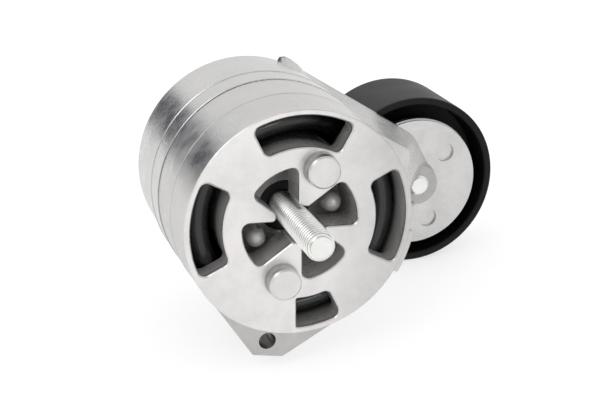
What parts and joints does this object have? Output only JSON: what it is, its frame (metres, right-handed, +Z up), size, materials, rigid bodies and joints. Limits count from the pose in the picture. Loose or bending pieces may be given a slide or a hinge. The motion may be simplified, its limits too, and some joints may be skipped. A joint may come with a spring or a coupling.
{
  "type": "belt tensioner",
  "caption": "Automatic belt tensioner: cast spring case with windows and locating bosses, sprung arm and smooth idler pulley on a ball bearing.",
  "frame": {"origin": "where the arm's swing axis crosses the mounting face of the spring case", "axes": "-Y out of the mounting face, towards the engine; +Z up; the pulley stands towards +X"},
  "size_m": [0.176, 0.1564, 0.1107],
  "materials": {
    "cast_case": "die cast, bead-blasted satin",
    "cast_arm": "die cast, satin",
    "zinc": "bright zinc plated",
    "spring_black": "black coated, glossy",
    "pulley_black": "dark satin",
    "steel": "ground",
    "bearing_steel": "polished",
    "nylon": "matte",
    "bushing": "sintered, matte",
    "seal_rubber": "matte",
    "cap_black": "moulded, satin"
  },
  "bodies": {
    "case": {"base_housing": "cast_case", "pivot_tube": "steel", "front_plate": "zinc", "bolt_washer": "zinc", "centre_bolt": "zinc", "torsion_spring": "spring_black"},
    "arm": {"tensioner_arm": "cast_arm", "damping_sleeve": "nylon", "rear_bushing": "bushing", "front_bushing": "bushing", "rear_thrust_washer": "nylon", "front_thrust_washer": "nylon", "pulley_bolt": "zinc", "bearing_spacer": "steel", "bearing_washer": "zinc", "bearing_inner_ring": "bearing_steel"},
    "idler": {"pulley": "pulley_black", "bearing_outer_ring": "bearing_steel", "near_seal": "seal_rubber", "far_seal": "seal_rubber", "retaining_ring": "steel", "dust_cap": "cap_black"},
    "ball_set": {"bearing_balls": "bearing_steel", "ball_cage": "steel"}
  },
  "joints": [
    {"name": "arm_swing", "type": "hinge", "parent": "case", "child": "arm", "pos_m": [0, 0, 0], "axis": [0, -1, 0], "range_deg": [0, 50], "stiffness_Nm_per_rad": 23, "springref_deg": -49.85, "deforming": ["torsion_spring"]},
    {"name": "pulley_spin", "type": "hinge", "parent": "arm", "child": "idler", "pos_m": [0.08612, 0, -0.02083], "axis": [0, -1, 0], "continuous": true},
    {"name": "ball_roll", "type": "hinge", "parent": "arm", "child": "ball_set", "pos_m": [0.08612, 0, -0.02083], "axis": [0, -1, 0], "continuous": true}
  ],
  "couplings": [
    {"joint": "ball_roll", "follows": "pulley_spin", "ratio": 0.6469}
  ]
}
